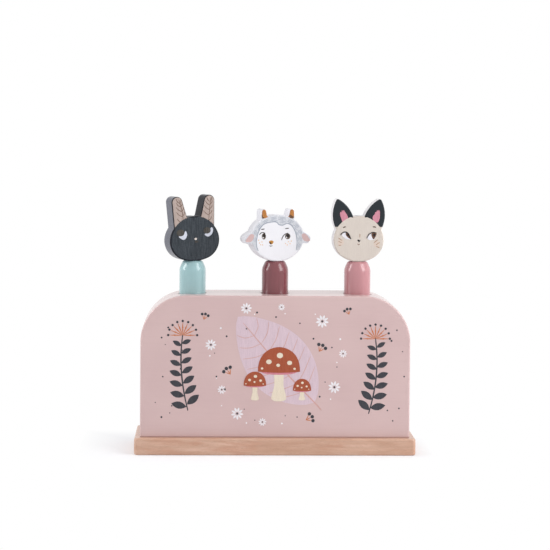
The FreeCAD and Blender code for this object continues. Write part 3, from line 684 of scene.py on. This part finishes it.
def coil_spring():
    """A wire wound up from its foot: one closed turn, the working turns, one closed turn."""
    graph, _, finish, foot, length, width, wire, working, closed = grower(
        "coil_spring", Foot=(0.0, 0.0, 0.0), Length=0.0485, Width=0.0154, Wire=0.001,
        Working_turns=12.0, Closed_pitch=0.0012,
    )
    line = graph.node("GeometryNodeCurvePrimitiveLine", {}, {"End": (0.0, 0.0, 1.0)})
    path = graph.node("GeometryNodeResampleCurve", {}, {"Curve": line, "Count": COIL_STEPS})
    share = graph.node("GeometryNodeSplineParameter", {}, {}, out="Factor")
    turns = share * (working + 2.0)
    last = working + 1.0
    ends = turns.rise(0.0, 1.0) + turns.rise(last, working + 2.0)
    climb = length - (wire / 4 + closed) * 2.0
    height = wire / 4 + closed * ends + climb * turns.rise(1.0, last)
    angle = turns * (2 * math.pi)
    wound = graph.put(path, angle.cosine() * width / 2, angle.sine() * width / 2, height)
    section = graph.node("GeometryNodeCurvePrimitiveCircle", {}, {
        "Resolution": WIRE_SIDES, "Radius": wire / 2,
    })
    tube = graph.node("GeometryNodeCurveToMesh", {}, {
        "Curve": wound, "Profile Curve": section, "Fill Caps": True,
    })
    x, y, z = graph.here()
    ground = graph.put(tube, x, y, z.most(0.0).least(length))
    rounded = graph.node("GeometryNodeSetShadeSmooth", {}, {"Geometry": ground})
    stood = graph.node("GeometryNodeTransform", {}, {"Geometry": rounded, "Translation": foot})
    return close(graph, stood, finish)


spring_tree = coil_spring()
spring_wire = metal("spring_steel_wire", (186, 187, 190), 0.26, 9.0)
PLACES = (("left", "rabbit"), ("middle", "lamb"), ("right", "cat"))
joints = {joint["name"]: joint for joint in frame["joints"]}
for place, animal in PLACES:
    low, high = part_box(f"{place}_spring")
    foot = ((low.x + high.x) / 2, (low.y + high.y) / 2, block_corner.z)
    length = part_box(f"{place}_spring_cap")[1].z - CAP_DISC - block_corner.z
    spring = grown(f"{place}_coil_spring", spring_tree, "case", Finish=spring_wire,
                   Foot=foot, Length=length)
    coat(f"{place}_spring", spring_wire)
    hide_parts(f"{place}_spring")
    press = -joints[f"{animal}_press"]["range_m"][0]
    1 - press / length
    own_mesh(spring)


# -------------------------------- spring caps
# A cap moulded in white plastic sits in the top of each spring.  The peg stands on its
# disc, and the stub below it keeps the coil centred.


def moulded(name, tint):
    """Plastic with the fine spark of a mould on it."""
    finish = Finish(name)
    x, y, z = finish.axes()
    cloud = finish.noise(x, y, z, scale=0.35)
    spark = finish.noise(x, y, z, scale=3.5)
    return finish.show(
        finish.mix(cloud.rise(0.35, 0.65), colour(*tint, deep=0.96), colour(*tint)),
        0.42 + spark * 0.1, spark, depth=0.02 * MM,
    )


cap_plastic = moulded("moulded_white_plastic", (226, 224, 218))
for place, _ in PLACES:
    coat(f"{place}_spring_cap", cap_plastic)


# -------------------------------- pegs
# The pegs are lengths of round beech rod with a rounded shoulder.  Each one is dipped
# in gloss enamel, which runs smooth and pools a little deeper toward the foot.

POOL = 22.0  # how far up from the foot the enamel pools, in millimetres


def enamel(name, tint, deep):
    """Dipped gloss enamel: an even coat, slightly deeper toward the foot of the peg."""
    finish = Finish(name, Coat_Weight=0.5, Coat_Roughness=0.1)
    x, y, z = finish.axes(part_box("rabbit_peg")[0])
    wave = finish.noise(x * 0.25, y * 0.25, z * 0.03, detail=1.0)
    skin = finish.noise(x * 0.3, y * 0.3, z * 0.12, detail=1.0)
    grain = finish.noise(x * 1.2, y * 1.2, z * 0.02)
    pooled = (1.0 - z.rise(0.0, POOL)) * 0.4
    share = pooled + wave.rise(0.35, 0.65) * 0.3 + grain.rise(0.5, 0.8) * 0.3
    return finish.show(
        finish.mix(share, colour(*tint), colour(*deep)),
        0.2 + skin * 0.08, skin * 0.7 + grain * 0.3, depth=0.02 * MM,
    )


for animal, paint, tint, deep in (
    ("rabbit", "mint", (155, 190, 193), (146, 182, 186)),
    ("lamb", "burgundy", (126, 63, 70), (114, 55, 62)),
    ("cat", "rose", (192, 134, 139), (182, 125, 130)),
):
    coat(f"{animal}_peg", enamel(f"{paint}_enamel", tint, deep))


# -------------------------------- neck pins
# A short beech pin is glued half into the peg and half into the head, and doesn't show.

pin_beech = beech("pin_beech", "Z", (216, 184, 150), (194, 156, 120), 0.6)
for _, animal in PLACES:
    coat(f"{animal}_neck_pin", pin_beech)


# -------------------------------- rabbit head
# The rabbit's head is sawn from 12.5 mm board and painted charcoal all round.  Its face
# is printed in a darker, streaky charcoal over the rounded rim, and the inside of each
# ear is left the colour of bare wood, with the veins of a leaf.

HEAD_HALF = 6.25  # millimetres from the middle of a head to its front
NECK_SINK = 0.35  # how far the chin's curve is cut off where it meets the peg
RIM = 0.95  # the rounded rim of a head, which the layers of ink keep off
# Where a head is darkened: painted shade on the crown and inner ear walls between the ears,
# up to the back, and a dark painted edge on the rim of the front.  Each pair is where it
# begins and where it is complete.
CROWN, EAR_ROOT, BACK, FRONT_RIM = (29.0, 32.0), (10.0, 12.0), (5.7, 6.1), (5.0, 5.5)
HORN_IN, HORN_OUT = (7.4, 7.6), (13.5, 13.7)  # the two sides of a horn, across


def head_anchor(animal):
    """Where a head stands on its peg."""
    low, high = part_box(f"{animal}_peg")
    return (low.x + high.x) / 2, (low.y + high.y) / 2, high.z


def head_paint(animal, turn, lean, side, lower, upper, level, gap, reach, sheen=0.3,
               gloss=0.2, shade=0.0, tips=None):
    """Satin paint on a sawn edge, and the front's two print colours on top of it.

    The upper colour lies above a level, farther than a gap from the middle, and both
    reach over the rim as far as the given depth.  By the given shade, the crown and inner ear
    walls between the ears are darkened as painted shade, and the front's rim as a dark
    painted edge.  Tips are horns with a colour of their own above a level.
    """
    finish = Finish(f"{animal}_head_paint", Specular_IOR_Level=sheen, Coat_Roughness=0.22)
    x, y, z = finish.axes(head_anchor(animal), turn, lean)
    aside, out = x.size(), y * -1.0
    saw = finish.noise(x * 0.25, y * 2.4, z * 0.25)
    cloud = finish.noise(x, y, z, scale=0.22)
    grain = finish.noise(x * 2.2, y * 0.4, z * 0.16, detail=3.0)
    share = saw.rise(0.35, 0.7) * 0.5 + cloud.rise(0.3, 0.7) * 0.5
    edge = finish.mix(share, colour(*side), colour(*side, deep=0.96))
    dark_rim_and_painted_shade = 0.0
    if shade:
        # Painted shade on the crown and inner ear walls between the ears, where the ears shade
        # each other, and a dark painted edge on the front's rim.
        between = z.rise(*CROWN) * (1.0 - aside.rise(*EAR_ROOT)) * (1.0 - y.rise(*BACK))
        dark_rim_and_painted_shade = between.most(out.rise(*FRONT_RIM)) * shade
        edge = finish.mix(dark_rim_and_painted_shade, edge, colour(*side, deep=0.3))
    zone = z.rise(level - 0.3, level + 0.3) * aside.rise(gap - 0.2, gap + 0.2)
    face = finish.mix(zone, colour(*lower), colour(*upper))
    if tips:
        tip_level, tint = tips
        horns = aside.rise(*HORN_IN) * (1.0 - aside.rise(*HORN_OUT))
        face = finish.mix(z.rise(tip_level, tip_level + 0.5) * horns, face, colour(*tint))
    face = finish.mix(grain.rise(0.35, 0.7) * 0.14, face, colour(*upper, deep=0.4))
    front = out.rise(reach, reach + 0.12)
    bare = (1.0 - front) * (1.0 - dark_rim_and_painted_shade)  # neither printed nor under the dark rim and painted shade
    # Under the dark rim and painted shade the coat is left off, which removes its reflection
    # there.
    finish.feed(finish.shader.inputs["Coat Weight"], bare * (saw * 0.4 + 0.8) * gloss)
    return finish.show(
        finish.mix(front, edge, face), 0.36 + saw * 0.12 + front * 0.06,
        saw * bare, depth=0.04 * MM,
    )


def face_outline(width, height, cheek, level, ears=None, inset=RIM, steps=24):
    """A face of four tangent arcs: two cheeks, forehead and chin, set in from its edge.

    Where the ears join the face, between their two distances across, nothing is set in.
    """
    reach = width / 2 - cheek
    bows = []
    for edge, way in ((height - NECK_SINK, 1), (-NECK_SINK, -1)):
        gap = abs(edge - level)
        radius = (reach ** 2 + gap ** 2 - cheek ** 2) / (2 * (gap - cheek))
        bows.append((edge - way * radius, radius))
    (crown_level, crown), (chin_level, chin) = bows
    top, low = math.atan2(level - crown_level, reach), math.atan2(level - chin_level, reach)
    outline = []
    for across, up, radius, start, end in (
        (reach, level, cheek, low, top),
        (0, crown_level, crown, top, math.pi - top),
        (-reach, level, cheek, math.pi - top, math.pi - low),
        (0, chin_level, chin, math.pi - low, 2 * math.pi + low),
    ):
        for n in range(steps):
            angle = start + (end - start) * n / steps
            x, y = across + radius * math.cos(angle), up + radius * math.sin(angle)
            joined = ears and y > level and ears[0] < abs(x) < ears[1]
            set_in = 0 if joined else inset
            outline.append((x - set_in * math.cos(angle), y - set_in * math.sin(angle)))
    return outline


def both(shape):
    """A shape and its mirror image on the other side of the head."""
    return [shape, [(-across, up) for across, up in shape]]


def painted_head(animal, turn, lean=0.0, **paint):
    """Paints a head and gives what prints the layers of ink on its front."""
    coat(f"{animal}_head", head_paint(animal, turn, lean, **paint))
    plane = face_plane(head_anchor(animal), turn, lean)
    return partial(printed, animal, plane, HEAD_HALF, f"{animal}_figure")


# The rabbit's shade paints shade on the crown and inner ear walls between its ears, and darkens
# the rim of its face as a painted edge.
rabbit_print = painted_head(
    "rabbit", turn=23.0, lean=3.0, side=(80, 82, 96), lower=(32, 39, 46),
    upper=(182, 165, 157), level=24.2, gap=3.6, reach=6.1, sheen=0.08, gloss=0.7, shade=0.88
)
veins = []
for midrib, left, right in (
    ([(-8.4, 26.5), (-8.8, 33.5), (-9.7, 39.0), (-11.2, 44.6)], 4.8, 1.5),
    ([(11.0, 26.5), (11.9, 33.5), (12.7, 39.0), (13.5, 44.6)], 4.2, 2.4),
):
    veins.append(midrib)
    path = smooth(midrib)
    for knot, share in ((1, 1.0), (4, 1.0), (7, 0.95), (10, 0.8), (12, 0.65)):
        x, up = path[knot]
        wide, far = left * share, right * share
        veins.append([(x, up), (x - wide * 0.6, up + 1.4), (x - wide, up + 3.6)])
        veins.append([(x, up + 0.6), (x + far * 0.7, up + 1.8), (x + far, up + 3.6)])
rabbit_print("ear_veins", [stroke(vein, 0.5) for vein in veins], 1,
             ink("vein_brown", (112, 88, 76)))
rabbit_print("face", [face_outline(38.2, 32.2, 14.0, 14.5, ears=(3.6, 15.2))], 2,
             ink("streaky_charcoal", (26, 34, 42), 0.2))
rabbit_print("eye_whites", [
    blob((-12.4, 18.2), (-11.3, 16.8), (-9.4, 15.7), (-7.9, 15.8), (-6.6, 17.2), (-6.0, 19.2),
         (-6.4, 21.0), (-7.2, 21.8), (-8.4, 20.2), (-10.4, 19.4)),
    blob((7.6, 18.4), (8.6, 17.2), (10.3, 16.6), (12.2, 17.4), (13.8, 19.3), (14.3, 21.6),
         (13.4, 23.1), (12.2, 22.2), (11.0, 20.4), (9.2, 19.4)),
], 3, ink("eye_white", (208, 212, 224)))
rabbit_print("eyelids", [disc(-11.0, 20.7, 6.1, 4.9), disc(9.6, 21.1, 5.5, 4.6)], 4,
             ink("lid_olive", (58, 54, 49), 0.16))
rabbit_print("nose", [disc(0.5, 15.6, 1.9, 1.6)], 3, ink("nose_bone", (226, 214, 206)))
rabbit_print("muzzle", [disc(1.0, 13.6, 2.8, 1.5)], 3, ink("muzzle_brown", (62, 57, 53)))


# -------------------------------- lamb head
# The lamb's head is painted white all round.  A cap of grey brushed wool is printed
# round its face, with two ochre horns, pink inner ears, big dark eyes and freckles.

WOOL_HEM = 7.6  # how far down the wool reaches
lamb_print = painted_head(
    "lamb", turn=16.0, side=(236, 235, 241), lower=(236, 235, 239), upper=(216, 218, 224),
    level=WOOL_HEM, gap=0.5, reach=5.95, tips=(31.4, (180, 112, 50))
)
LAMB_FACE = {"width": 39.6, "height": 33.6, "cheek": 14.8, "level": 16.8}
parting = smooth([
    (-14.8, WOOL_HEM), (-16.0, 10.8), (-16.1, 15.0), (-15.0, 20.5), (-12.5, 25.0), (-9.2, 27.3),
    (-3.3, 28.3), (-0.8, 27.7), (0.6, 26.2), (3.5, 25.8), (7.0, 27.0), (10.4, 25.2),
    (13.2, 20.5), (14.4, 14.0), (13.8, WOOL_HEM),
])
wool = [point for point in face_outline(**LAMB_FACE) if point[1] > WOOL_HEM] + parting
lamb_print("wool", [wool], 0.5, ink("wool_grey", (216, 218, 224), 0.12))
strokes = []
for row, inset in enumerate((1.6, 2.5, 3.4, 4.3, 5.2)):
    ring = [p for p in face_outline(**LAMB_FACE, inset=inset) if p[1] > WOOL_HEM + 1]
    for first in range(row % 3, len(ring) - 5, 6):
        strokes.append(stroke(ring[first:first + 5:2], 0.42))
lamb_print("wool_strokes", strokes, 1, ink("wool_stroke", (170, 176, 189)))
lamb_print("parting", [stroke(parting[::5], 0.7, 0.5)], 3, ink("wool_shade", (160, 167, 180)))
ring = face_outline(**LAMB_FACE)
left_cheek = next(n for n, (x, up) in enumerate(ring) if x < 0 and up < WOOL_HEM)
chin = [p for p in ring[left_cheek:] + ring[:left_cheek] if p[1] < WOOL_HEM]
lamb_print("face", [chin + parting[::-1]], 1.5, ink("face_white", (236, 235, 239), 0.02))
lamb_print("ears", both(blob(
    (18.0, 18.6), (20.2, 19.6), (22.6, 17.6), (24.4, 14.6), (22.4, 13.8), (19.4, 14.8)
)), 2, ink("ear_pink", (212, 180, 178)))
horn = blob((8.5, 31.6), (9.0, 34.0), (9.7, 36.0), (10.6, 36.4), (11.3, 35.4), (11.8, 33.4),
            (11.9, 31.6), (10.2, 30.8))
lamb_print("horns", both(horn), 2, ink("horn_ochre", (186, 116, 48), 0.14))
lamb_print("horn_feet", [
    blob((-12.2, 33.6), (-12.4, 31.8), (-11.6, 30.6), (-10.4, 31.2), (-11.4, 32.0)),
    blob((8.6, 33.4), (9.6, 33.0), (11.8, 31.8), (11.6, 30.8), (10.0, 30.6), (8.6, 31.4)),
], 3, ink("horn_brown", (98, 64, 40), 0.12))
IRIS = ink("iris_brown", (84, 70, 60), 0.14)
LASH = ink("lash_dark", (34, 28, 30))
lamb_print("eyes", [disc(-10.7, 17.9, 3.1, 4.5), disc(7.3, 17.7, 4.0, 4.2)], 2, IRIS)
lamb_print("pupils", [disc(-10.5, 18.4, 1.7, 2.6), disc(7.5, 18.2, 2.2, 2.4)], 3, LASH)
lamb_print("glints", [disc(-11.3, 17.0, 0.8, 1.1), disc(6.4, 16.9, 0.9, 1.1)], 4, WHITE)
lamb_print("lashes", [
    stroke([(-14.1, 19.0), (-13.1, 20.2), (-11.4, 20.7), (-9.6, 20.0)], 0.6),
    stroke([(2.6, 15.0), (3.4, 17.2), (5.2, 19.2), (7.8, 20.1)], 0.6),
    stroke([(-12.8, 22.9), (-10.2, 23.2)], 0.65), stroke([(5.3, 23.2), (8.2, 23.6)], 0.65),
    stroke([(-6.6, 11.2), (-5.4, 10.8), (-4.2, 11.2)], 0.45),
], 4, LASH)
lamb_print("nose", [
    blob((-6.8, 14.2), (-5.0, 14.9), (-3.3, 14.1), (-4.0, 12.7), (-5.2, 12.0), (-6.3, 12.8)),
], 2, ink("nose_ochre", (200, 136, 52), 0.14))
lamb_print("nostril", [
    blob((-6.6, 13.7), (-5.4, 13.5), (-4.8, 12.5), (-5.4, 12.1), (-6.3, 12.7)),
], 3, ink("nose_brown", (92, 64, 44)))
lamb_print("freckles", [
    disc(across, up, 0.9) for across, up in (
        (-14.6, 15.2), (-14.0, 13.2), (-12.1, 13.9), (-11.6, 11.8), (-13.1, 12.0),
        (5.7, 12.6), (7.9, 13.8), (10.1, 14.2), (7.0, 11.5), (9.1, 12.4),
    )
], 2, ink("freckle_orange", (236, 200, 160)))


# -------------------------------- cat head
# The cat's head is painted pale grey all round.  Its face is printed in warm cream under
# black ears with pink insides, and it looks sideways over a small heart-shaped nose.

cat_print = painted_head(
    "cat", turn=2.5, side=(228, 225, 228), lower=(217, 206, 196), upper=(32, 39, 45),
    level=24.8, gap=4.2, reach=5.7
)
cat_print("face", [face_outline(36.6, 33.2, 14.7, 15.4, ears=(4.2, 15.6))], 2,
          ink("face_cream", (218, 207, 197), 0.04))
cat_print("ear_linings", [
    blob((-12.6, 30.6), (-13.6, 33.4), (-13.4, 35.7), (-12.7, 35.3), (-12.3, 36.9), (-11.6, 36.2),
         (-11.0, 37.0), (-10.2, 35.8), (-8.9, 34.0), (-8.0, 31.8), (-8.6, 29.6), (-11.6, 28.4)),
    blob((9.9, 31.4), (10.5, 33.2), (11.5, 34.2), (11.7, 35.5), (12.6, 35.6), (13.2, 36.9),
         (13.9, 36.3), (14.4, 37.2), (15.1, 35.8), (15.2, 33.2), (14.9, 30.6), (13.6, 28.2),
         (11.0, 28.8)),
], 1, ink("ear_rose", (214, 142, 159)))
cat_print("cheeks", [disc(-13.0, 13.8, 4.6, 4.4), disc(13.2, 12.4, 4.6, 4.4)], 3,
          ink("cheek_peach", (222, 204, 191), 0.03))
cat_print("eye_whites", [
    blob((-12.3, 19.0), (-11.2, 20.4), (-9.6, 20.8), (-8.0, 20.0), (-6.8, 18.2), (-5.9, 16.0),
         (-7.4, 15.9), (-9.4, 16.3), (-11.0, 17.5)),
    blob((6.3, 16.8), (7.2, 18.6), (8.6, 20.0), (10.4, 20.7), (12.5, 20.3), (12.4, 18.0),
         (11.2, 16.1), (9.0, 15.4), (7.3, 15.7)),
], 4, ink("eye_pearl", (236, 234, 240), 0.03))
cat_print("irises", [
    blob((-9.4, 20.6), (-7.9, 20.4), (-6.7, 18.8), (-6.1, 16.5), (-7.2, 16.8), (-8.5, 17.9),
         (-9.3, 19.2)),
    blob((9.1, 20.0), (10.6, 20.8), (12.8, 20.4), (12.3, 18.2), (11.3, 16.5), (10.4, 16.2),
         (9.5, 17.8)),
], 5, ink("iris_chestnut", (96, 62, 44), 0.14))
cat_print("pupils", [disc(-7.7, 19.3, 1.3, 1.9), disc(11.2, 19.2, 1.7, 2.0)], 6, LASH)
cat_print("lashes", [
    stroke([(-13.0, 18.9), (-12.3, 20.3), (-10.7, 21.1), (-8.7, 21.0), (-7.3, 19.7), (-6.4, 17.8),
            (-5.7, 16.0)], 0.7, 0.7),
    stroke([(5.8, 16.7), (6.6, 18.6), (8.0, 20.1), (10.2, 21.0), (12.9, 20.7)], 0.6, 0.6),
], 7, LASH)
cat_print("brows", [stroke([(-11.4, 24.3), (-10.4, 24.8), (-9.4, 25.0)], 0.8),
                    stroke([(10.2, 24.9), (11.2, 25.0), (12.4, 24.6)], 0.8)], 4,
          ink("brow_brown", (82, 64, 50)))
cat_print("nose", [blob((-1.0, 15.4), (-0.3, 15.9), (0.3, 15.4), (1.2, 15.6), (0.9, 14.6),
                        (0.3, 13.9), (-0.4, 14.5))], 4, LASH)
cat_print("mouth", [stroke([(-0.9, 12.9), (-0.1, 12.1), (0.8, 12.6)], 0.45)], 4,
          ink("mouth_brown", (112, 72, 58)))
cat_print("whiskers", [
    stroke(list(ends), 0.42) for ends in (
        ((-14.8, 17.0), (-12.0, 15.0)), ((-14.7, 14.5), (-12.2, 13.5)),
        ((-14.6, 11.7), (-12.6, 11.6)), ((10.9, 13.4), (13.9, 15.8)),
        ((12.4, 11.9), (15.3, 14.0)), ((12.7, 11.0), (15.2, 9.8)), ((0.8, 20.0), (0.8, 17.2)),
    )
], 5, ink("whisker_tan", (170, 128, 94)))


# -------------------------------- table and light
# The toy stands on a white table in a bright room.  Two softboxes, high to its left and
# right, leave two soft glints on every dipped shoulder, and a third one brightens the
# right sides without a glint of its own.


def seen_rays(graph):
    """1 for the rays that look at a thing, and 0 for those that it lights."""
    camera, glossy, through = [
        graph.node("ShaderNodeLightPath", {}, {}, out=f"Is {kind} Ray")
        for kind in ("Camera", "Glossy", "Transmission")
    ]
    return camera.most(glossy).most(through)


HALF_TABLE = 6.0  # metres from the toy to the table's edge
table_mesh = bpy.data.meshes.new("table")
table_mesh.from_pydata([
    (x * HALF_TABLE, y * HALF_TABLE, 0.0) for x, y in ((-1, -1), (1, -1), (1, 1), (-1, 1))
], [], [(0, 1, 2, 3)])
table = linked("table", table_mesh)
top = Finish("white_table", Roughness=1.0, Specular_IOR_Level=0.0)
x, y, z = top.axes()
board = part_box("base_board")[1] / MM  # half the foot board's length and depth
beside = (x.size() - board.x).most(y.size() - board.y)
leftward = 1.0 - x.rise(-board.x, board.x)
afar = beside.rise(2.0, 14.0 + leftward * 28.0)  # the shadow reaches farther on the left
looked_at = seen_rays(top)
tints = top.mix(looked_at, colour(240, 241, 244), colour(226, 227, 231))
top.feed(top.shader.inputs["Base Color"], tints)
lift = top.node("ShaderNodeEmission", {}, {"Strength": looked_at * 0.2})
near = top.node("ShaderNodeAddShader", {}, {0: Signal(top, top.shader.outputs[0]), 1: lift})
white = top.node("ShaderNodeEmission", {}, {})
faded = top.node("ShaderNodeMixShader", {}, {0: looked_at * afar, 1: near, 2: white})
top.tree.links.new(faded.socket, top.tree.nodes["Material Output"].inputs["Surface"])
table_mesh.materials.append(top.material)

world = bpy.data.worlds.new("bright_room")
bpy.context.scene.world = world
world.use_nodes = True
room = Graph(world.node_tree)
SIDE_LIGHT, FRONT_LIGHT = 0.62, 0.41  # the room is bright all round but behind the camera
way = room.node("ShaderNodeTexCoord", {}, {}, out="Generated")
backwards = room.node("ShaderNodeSeparateXYZ", {}, {0: way}, out=1)
glow = backwards.rise(-1.0, 0.1) * (SIDE_LIGHT - FRONT_LIGHT) + FRONT_LIGHT
seen = seen_rays(room)
background = world.node_tree.nodes["Background"]
background.inputs["Color"].default_value = (1.0, 1.0, 1.0, 1.0)
room.feed(background.inputs["Strength"], seen * (1.0 - glow) + glow)
LIT, LAMP_DISTANCE = Vector((0.0, 0.0, 0.13)), 1.3  # the pegs, and how far off the lamps stand


def softbox(name, azimuth, elevation, width, height, power):
    """A softbox that faces the pegs from an azimuth, counted from the front to the right."""
    a, e = math.radians(azimuth), math.radians(elevation)
    away = Vector((math.sin(a) * math.cos(e), -math.cos(a) * math.cos(e), math.sin(e)))
    lamp = bpy.data.lights.new(name, "AREA")
    lamp.shape, lamp.size, lamp.size_y, lamp.energy = "RECTANGLE", width, height, power
    box = linked(name, lamp)
    box.location = LIT + away * LAMP_DISTANCE
    box.rotation_euler = away.to_track_quat("Z", "Y").to_euler()
    return box


softbox("left_softbox", -84.0, 24.0, width=0.55, height=0.9, power=8.5)
softbox("right_softbox", 54.0, 24.0, width=0.6, height=0.9, power=8.2)
edge_softbox = softbox("edge_softbox", 86.0, 15.0, width=0.4, height=0.7, power=5.0)
edge_softbox.visible_glossy = False


# -------------------------------- camera
# A long lens at the height of the heads looks slightly down on the toy, a little from
# its left, with the lens shifted so that the toy stands low in the picture.

CAMERA_PLACE = (-0.04575, -1.1533, 0.23115)
PITCH, YAW, ROLL = (math.radians(angle) for angle in (-1.97, -1.52, 0.42))
lens = bpy.data.cameras.new("camera")
lens.lens, lens.sensor_width = 104.85, 36.0
lens.shift_x, lens.shift_y = 0.0369, -0.1652
lens.clip_start, lens.clip_end = 0.05, 50.0
camera = linked("camera", lens)
upright = Matrix.Rotation(YAW, 3, "Z") @ Matrix.Rotation(math.pi / 2 + PITCH, 3, "X")
camera.rotation_mode = "QUATERNION"
camera.rotation_quaternion = (upright @ Matrix.Rotation(ROLL, 3, "Z")).to_quaternion()
camera.location = CAMERA_PLACE
bpy.context.scene.camera = camera
bpy.context.scene.view_settings.view_transform = "Standard"
